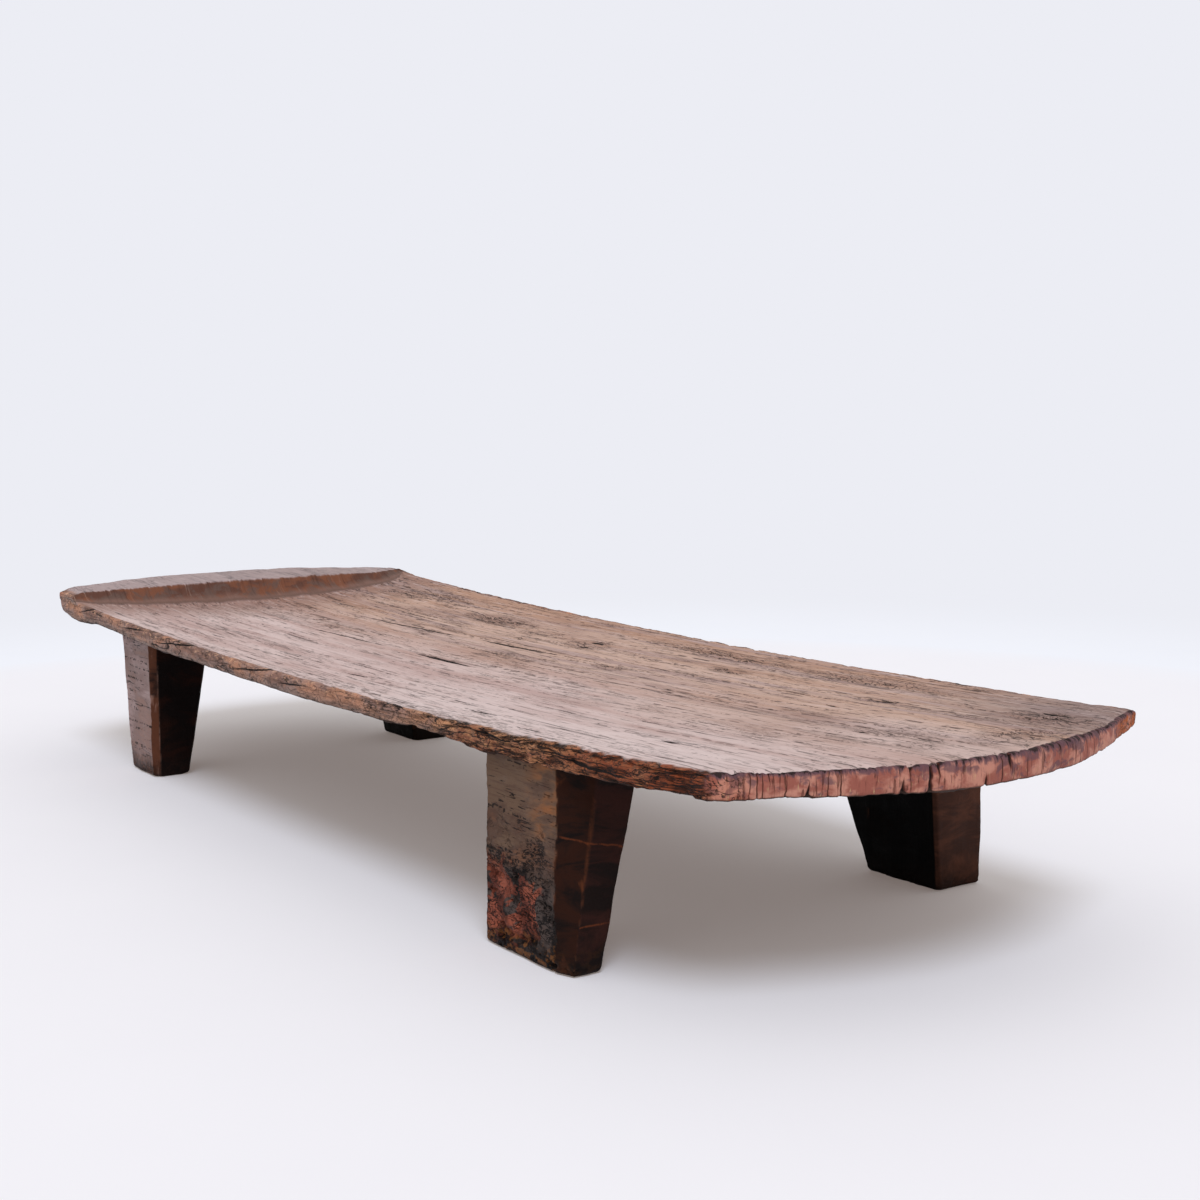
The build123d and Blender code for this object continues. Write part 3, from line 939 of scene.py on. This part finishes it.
def makeDeckWood():
    material, tree, where = openMaterial("weatheredDeckWood")
    x, y = split(where)[:2]
    gap = attribute(tree, "edgeGap")
    level, carved = attribute(tree, "level"), attribute(tree, "carved")
    top = useGroup(tree, topGroup, {"Vector": where})
    rim = useGroup(tree, rimGroup, {"Vector": where, "Level": level, "Carved": carved})
    end = useGroup(tree, endGroup, {
        "Vector": where, "Level": level * ramp(x, -0.5, 0.5)})
    start, full = endBand
    onEnd = ramp(x, start, full) + ramp(x, -start, -full) * 0.5
    sideColor = tint(onEnd, rim["Color"], end["Color"])
    sideRise = blendValue(onEnd, rim["Height"], end["Height"])
    ragged = noise(where, (45, 45, 45), 4, 0.6)
    rugged = rimRuggedness(x, y)
    reach = blendValue(onEnd, ramp(rugged, 0.2, 1.0, 0.002, 0.014), 0.003)
    jitter = (ragged - 0.5) * blendValue(onEnd, ramp(rugged, 0.1, 1.0, 0.006, 0.022), 0.008)
    onTop = ramp(gap + jitter, reach * 0.3, reach)
    onTop = onTop * ramp(level, 0.88, 0.98)
    color = tint(onTop, sideColor, top["Color"])
    rise = blendValue(onTop, sideRise, top["Height"])
    below = ramp(level, -0.80, -0.97)
    underColor = tint(noise(where, (6, 40, 40), 4, 0.6), underTones["dark"],
                      underTones["brown"])
    color = tint(below, color, underColor)
    closeMaterial(tree, color, linear(rise, -1.0, 1.0, 0.85, 0.62), rise, "deck")
    return material


faceTones = {"warm": "764731", "brown": "5c392c", "plum": "604940", "pale": "bb9c8a",
             "dark": "38221a"}


def makeHeadrestWood():
    material, tree, where = openMaterial("weatheredHeadrestWood")
    sideness, inner = attribute(tree, "sideness"), attribute(tree, "innerFace")
    level, carved = attribute(tree, "level"), attribute(tree, "carved")
    top = useGroup(tree, topGroup, {"Vector": where})
    x = split(where)[0]
    topColor = tint(ramp(level, 0.9, 0.98) * 0.55, top["Color"], topTones["ash"])
    rim = useGroup(tree, rimGroup, {
        "Vector": where, "Level": ramp(level, 0.0, 1.0, -1.0, 1.0), "Carved": carved})
    end = useGroup(tree, endGroup, {"Vector": where, "Level": ramp(level, 0.5, 1.0)})
    onEnd = ramp(x, -endBand[0], -endBand[1]) * 0.5
    sideColor = tint(onEnd, rim["Color"], end["Color"])
    marks = noise(where, (6, 150, 9), 4, 0.65, 0.3)
    smear = noise(where, (5, 18, 30), 4, 0.6, 0.5)
    innerColor = tint(ramp(smear, 0.42, 0.58), faceTones["brown"], faceTones["warm"])
    plum = noise(where, (5, 30, 40), 4, 0.65, 0.6, shift=(3, 3, 1))
    innerColor = tint(ramp(plum + (0.55 - level) * 0.3, 0.44, 0.60) * 0.9, innerColor,
                      faceTones["plum"])
    innerColor = tint(ramp(marks, 0.62, 0.74) * 0.4, innerColor, faceTones["pale"])
    innerColor = tint(ramp(marks, 0.44, 0.30) * 0.5, innerColor, faceTones["dark"])
    innerColor = tint(ramp(level + (smear - 0.5) * 0.6, 0.45, 0.10) * 0.7, innerColor,
                      topTones["deep"])
    face = inner * ramp(level + (marks - 0.5) * 0.3, 1.0, 0.90)
    # painted shade: a darker plum band along the foot of the inner face, where it runs into the
    # deck
    foot = level + (smear - 0.5) * 0.22
    innerColor = tint(ramp(foot, 0.26, 0.10) * 0.75, innerColor, faceTones["plum"])
    face = face * ramp(foot, 0.03, 0.14)
    color = tint(sideness * ramp(level, 1.0, 0.9), topColor, sideColor)
    color = tint(face, color, innerColor)
    rise = blendValue(sideness, top["Height"], rim["Height"])
    rise = blendValue(face, rise, (marks - 0.5) * 2.5)
    closeMaterial(tree, color, linear(rise, -1.0, 1.0, 0.85, 0.60), rise, "deck")
    return material


# The paint and the scratches of the painted leg, by height over the floor
paintSizes = {"highest": 0.125, "lowest": 0.085, "pitTop": 0.160, "pitFull": 0.120,
              "slateFrom": 0.600, "highScratch": 0.160, "lowScratch": 0.058,
              "scratchWidth": 0.0019, "scratchStrength": 0.32}


def makeLegWood(name, tones, painted):
    material, tree, where = openMaterial(name)
    x, y, z = split(where)
    outer, cut = attribute(tree, "outerFace"), attribute(tree, "cutFace")
    grain = useGroup(tree, grainGroup, {
        "Vector": stretch(where, (1.1, 1.1, 1.1)), "Openness": tones["openness"]})
    drift = noise(where, (7, 7, 16), 4, 0.65, 0.6, shift=(9, 4, 2))
    color = tint(ramp(drift, 0.40, 0.60), tones["outerDark"], tones["outer"])
    color = tint(ramp(drift, 0.46, 0.36) * 0.6, color, tones["warm"])
    color = tint(ramp(grain["Streaks"], 0.48, 0.66) * 0.6, color, tones["outerDark"])
    color = tint(grain["Pores"] * 0.85, color, tones["dark"])
    color = tint(grain["Cracks"] * 0.9, color, tones["dark"])
    rubbed = noise(where, (26, 26, 26), 4, 0.65, shift=(5, 5, 5))
    if painted:  # worn paint: brick red and slate in patches, broken by black pits
        reach = ramp(z + (rubbed - 0.5) * 0.10, paintSizes["highest"], paintSizes["lowest"])
        patches = noise(where, (15, 15, 19), 3, 0.6, 0.5, shift=(2, 8, 4))
        brick = tint(ramp(rubbed, 0.40, 0.60), tones["brickDark"], tones["brick"])
        slate = tint(ramp(rubbed, 0.36, 0.52), tones["dark"], tones["slate"])
        patches = patches + (x - paintSizes["slateFrom"]) * 1.3
        lower = tint(ramp(patches, 0.49, 0.515), brick, slate)
        color = tint(ramp(x, 0.62, 0.69) * ramp(drift, 0.50, 0.60) * 0.7, color, tones["stain"])
        color = tint(reach * 0.95, color, lower)
        pits = useGroup(tree, checkGroup, {"Vector": stretch(where, (40, 40, 84))})
        worn = noise(where, (18, 18, 24), 3, 0.6, shift=(7, 1, 6))
        pitting = ramp(z + (rubbed - 0.5) * 0.16, paintSizes["pitTop"], paintSizes["pitFull"])
        pitting = pitting * ramp(worn, 0.38, 0.52) * larger(pits["Checks"], pits["Crumbs"])
        color = tint(pitting * 0.95, color, tones["dark"])
    # the faces that look to the head, the foot and the middle: dark wood, made nearly black with
    # painted shade where they look in under the bed
    innerTone = noise(where, (13, 13, 34), 4, 0.62, 0.6, shift=(1, 4, 6))
    strokes = noise(where, (90, 90, 9), 3, 0.6, 0.3, shift=(3, 3, 3))
    innerColor = tint(ramp(innerTone, 0.46, 0.70), tones["inner"], tones["innerWarm"])
    innerColor = tint(ramp(strokes, 0.62, 0.78) * ramp(innerTone, 0.50, 0.62) * 0.6, innerColor,
                      tones["rub"])
    cutColor = tint(ramp(innerTone, tones["cutStart"], 0.56), tones["inner"], tones["cut"])
    smears = noise(where, (22, 22, 15), 3, 0.6, 0.4, shift=(6, 2, 5))
    cutColor = tint(ramp(smears, 0.56, 0.64) * ramp(rubbed, 0.40, 0.54) * 0.55, cutColor,
                    tones["rub"])
    innerColor = tint(attribute(tree, "endFace"), innerColor,
                      tint(ramp(innerTone, 0.40, 0.64), tones["end"], tones["endWarm"]))
    if painted:  # two scratches across the dark faces
        high = z - paintSizes["highScratch"] + (rubbed - 0.5) * 0.012 + (y + 0.31) * 0.24
        low = abs(z - paintSizes["lowScratch"] + (rubbed - 0.5) * 0.006) + cut * 0.01
        scratch = 1.0 - ramp(smaller(abs(high), low), 0.0, paintSizes["scratchWidth"])
        scratch = scratch * ramp(strokes, 0.36, 0.52) * paintSizes["scratchStrength"]
        cutColor = tint(scratch, cutColor, tones["scratch"])
        innerColor = tint(scratch, innerColor, tones["scratch"])
    color = tint(outer, innerColor, color)
    color = tint(cut, color, cutColor)
    # rubbed edges: the facet's border and the small corners
    border = attribute(tree, "rim") * ramp(rubbed, 0.46, 0.60)
    color = tint(border * 0.35, color, tones["rub"])
    arris = attribute(tree, "arris") * ramp(rubbed, 0.44, 0.60) * ramp(innerTone, 0.44, 0.58)
    color = tint(arris * 0.34, color, tones["rub"])
    foot = ramp(z + (rubbed - 0.5) * 0.07, 0.040, 0.010)
    grit = noise(where, (90, 90, 130), 3, 0.6, shift=(2, 3, 4))
    sole = tint(ramp(grit, 0.48, 0.58) * (outer * 0.8 + 0.1), tones["dark"], tones["sole"])
    color = tint(foot * (outer * 0.2 + 0.65), color, sole)
    rise = blendValue(outer, (innerTone - 0.5) * 1.5 + (strokes - 0.5) * 0.6,
                      grain["Height"] + (rubbed - 0.5) * 0.8)
    if painted:
        rise = rise - pitting * outer * 1.6
    closeMaterial(tree, color, ramp(innerTone, 0.3, 0.7, 0.50, 0.75), rise, "leg")
    return material


# inner and innerWarm, and the end tones of paleLeg, are nearly black: partly dark wood, partly
# painted shade on faces that look in under the bed
greyLeg = {
    "openness": 0.25, "cutStart": 0.38, "outer": "675040", "outerDark": "513a30",
    "warm": "7c5339", "dark": "100806", "brick": "96503c", "brickDark": "5c2c20",
    "slate": "4a3f3b", "inner": "120806", "innerWarm": "2c140d", "end": "160b08",
    "endWarm": "311914", "cut": "2a130a", "rub": "6c3a20", "sole": "754822",
    "stain": "94592f", "scratch": "8e4826",
}
paleLeg = {**greyLeg, "openness": 0.05, "cutStart": 0.20, "outer": "9f8783",
           "outerDark": "846d68", "warm": "957468", "inner": "0c0403", "innerWarm": "1c0904",
           "end": "0c0403", "endWarm": "200c06", "cut": "563121", "rub": "a0796a",
           "sole": "4a2c1f"}
darkLeg = {**greyLeg, "outer": "5e4436", "outerDark": "3a281f", "warm": "4e3322",
           "inner": "030101", "innerWarm": "080302", "end": "3c231a", "endWarm": "573528",
           "cut": "1a0d08", "rub": "5a3524", "sole": "20110b"}
shadedLeg = {**darkLeg, "end": "140a07", "endWarm": "20110c"}

deckWood = makeDeckWood()
headrestWood = makeHeadrestWood()
print("wood finishes made")

deck = growPiece("carvedDeck", makeDeckTree(deckWood), deckSizes, deckWood)
thinUnderside(deck, undersideShare)
headrest = growPiece("carvedHeadrest", makeHeadrestTree(headrestWood),
                     {**deckSizes, **headrestSizes}, headrestWood)
print("deck", len(deck.data.polygons), "headrest", len(headrest.data.polygons))

# For each leg: its piece, its side, its end, how far the middle of its sole stands in from the
# corners of that end and its outer face from the deck's edge, its tones and its other sizes
legRows = {
    "leg_head_near": ("carvedLegHeadNear", near, -1, 0.288, 0.043, paleLeg, {
        "soleLength": 0.118, "soleDepth": 0.063, "lean": 0.047, "headGrowth": 0.038,
        "footGrowth": 0.003, "cutAlong": 0.012, "cutAlongTop": 0.005, "cutAcross": 0.010,
        "wear": 0.2, "chipping": 0.2, "seed": 2.0, "rubbing": 1.0}),
    "leg_head_far": ("carvedLegHeadFar", far, -1, 0.262, 0.071, shadedLeg, {
        "soleLength": 0.130, "soleDepth": 0.080, "lean": 0.030, "headGrowth": 0.040,
        "wear": 0.4, "chipping": 0.3, "seed": 5.0}),
    "leg_foot_near": ("carvedLegFootNear", near, 1, 0.3195, 0.002, greyLeg, {
        "soleLength": 0.181, "soleDepth": 0.048, "lean": 0.052, "headGrowth": -0.008,
        "cutAlong": 0.026, "cutAcross": 0.008, "cutAcrossTop": 0.032, "wear": 0.8,
        "chipping": 1.0, "seed": 9.0, "rubbing": 1.0}),
    "leg_foot_far": ("carvedLegFootFar", far, 1, 0.305, 0.009, darkLeg, {
        "soleLength": 0.146, "soleDepth": 0.080, "lean": 0.023, "headGrowth": 0.071,
        "wear": 0.4, "chipping": 0.4, "bend": 0.012, "seed": 14.0}),
}

legs = []
for nodeName, (pieceName, side, end, fromEnd, fromSide, tones, sizes) in legRows.items():
    station = end * (deckSizes["cornerX"] - fromEnd)
    wood = makeLegWood(pieceName + "Wood", tones, nodeName == "leg_foot_near")
    made = {**legSizes, **sizes, "side": side, "station": station,
            "outerY": sideY(deckSizes, station, float(side)) - side * fromSide,
            "height": rimHeight(deckSizes, station, side) + legTenon}
    leg = growPiece(pieceName, makeLegTree(wood, pieceName), made, wood)
    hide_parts(nodeName)
    legs.append(leg)
print("legs", [len(leg.data.polygons) for leg in legs])

for piece, nodeName in ((deck, "deck"), (headrest, "headrest")):
    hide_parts(nodeName)
for piece in (deck, headrest, *legs):
    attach(piece, "root")


# Room: a pale floor that fades into a white background, with a faint painted glow near the bed
# that lifts its shadow, a soft sky and one broad lamp

roomSizes = {"reach": 9.0, "fadeStart": 1.7, "fadeEnd": 3.4, "glow": 0.17,
             "skyStrength": 0.69, "lampPower": 1.60, "lampSpread": 24.0, "lampTurn": -30.0,
             "lampHeight": 54.0}
roomTones = {"floor": "f0f2f7", "floorPale": "f4f6fa", "paintedShadowTint": "f0d9ce", "wall": "ecedf4",
             "sky": "fffcfa", "lamp": "eaf1ff"}


def makeFloor():
    r = roomSizes["reach"]
    mesh = bpy.data.meshes.new("floor")
    mesh.from_pydata([(-r, -r, 0), (r, -r, 0), (r, r, 0), (-r, r, 0)], [], [(0, 1, 2, 3)])
    floor = addObject("floor", mesh)
    material, tree, where = openMaterial("paleFloor")
    mottle = noise(where, (3, 3, 3), 3)
    shader = tree.nodes.new("ShaderNodeBsdfPrincipled")
    feed(tree, shader.inputs["Base Color"],
         tint(mottle, roomTones["floor"], roomTones["floorPale"]))
    shader.inputs["Roughness"].default_value = finishSizes["floorRoughness"]
    shader.inputs["Specular IOR Level"].default_value = finishSizes["floorGloss"]
    distance = node(tree, "ShaderNodeVectorMath", {0: where}, out=1, operation="LENGTH")
    fade = ramp(distance, roomSizes["fadeStart"], roomSizes["fadeEnd"])
    # painted light: near the bed the floor shows the camera a faint warm glow, which lifts and
    # warms the shadow under the bed
    wall = node(tree, "ShaderNodeEmission", {
        "Color": tint(linear(fade, 0.0, 0.2), roomTones["paintedShadowTint"], roomTones["wall"]),
        "Strength": 1.0})
    fade = linear(fade, 0.0, 1.0, roomSizes["glow"], 1.0)
    seen = node(tree, "ShaderNodeLightPath", out=0)
    shown = node(tree, "ShaderNodeMixShader", {
        0: fade * seen, 1: Signal(tree, shader.outputs[0]), 2: wall})
    tree.links.new(shown.socket, tree.nodes.new("ShaderNodeOutputMaterial").inputs[0])
    mesh.materials.append(material)


def makeSky():
    world = bpy.data.worlds.new("softSky")
    bpy.context.scene.world = world
    world.use_nodes = True
    tree = world.node_tree
    tree.nodes.clear()
    sky = node(tree, "ShaderNodeBackground", {
        "Color": paint(roomTones["sky"]), "Strength": roomSizes["skyStrength"]})
    wall = node(tree, "ShaderNodeBackground", {
        "Color": paint(roomTones["wall"]), "Strength": 1.0})
    seen = node(tree, "ShaderNodeLightPath", out=0)
    shown = node(tree, "ShaderNodeMixShader", {0: seen, 1: sky, 2: wall})
    tree.links.new(shown.socket, tree.nodes.new("ShaderNodeOutputWorld").inputs[0])


def makeLamp():
    data = bpy.data.lights.new("broadLamp", "SUN")
    data.energy, data.angle = roomSizes["lampPower"], math.radians(roomSizes["lampSpread"])
    data.color = paint(roomTones["lamp"])[:3]
    lamp = addObject("broadLamp", data)
    turn, rise = (math.radians(roomSizes[key]) for key in ("lampTurn", "lampHeight"))
    source = Vector((math.cos(turn) * math.cos(rise), math.sin(turn) * math.cos(rise),
                     math.sin(rise)))
    lamp.rotation_euler = source.to_track_quat("Z", "Y").to_euler()


cameraSizes = {"spot": (2.23966, -1.30782, 0.62945), "turn": 55.630, "down": 6.308,
               "roll": -0.525, "lens": 50.3, "sensor": 36.0, "nearest": 0.05, "farthest": 100.0}


def makeCamera():
    data = bpy.data.cameras.new("camera")
    data.lens, data.sensor_width = cameraSizes["lens"], cameraSizes["sensor"]
    camera = addObject("camera", data)
    turn = (Matrix.Rotation(math.radians(cameraSizes["turn"]), 4, "Z")
            @ Matrix.Rotation(math.radians(90 - cameraSizes["down"]), 4, "X")
            @ Matrix.Rotation(math.radians(cameraSizes["roll"]), 4, "Z"))
    camera.matrix_world = Matrix.Translation(cameraSizes["spot"]) @ turn
    data.clip_start, data.clip_end = cameraSizes["nearest"], cameraSizes["farthest"]
    bpy.context.scene.camera = camera


makeFloor()
makeSky()
makeLamp()
makeCamera()
bpy.context.scene.view_settings.view_transform = "Standard"
print("room, lamp and camera set")
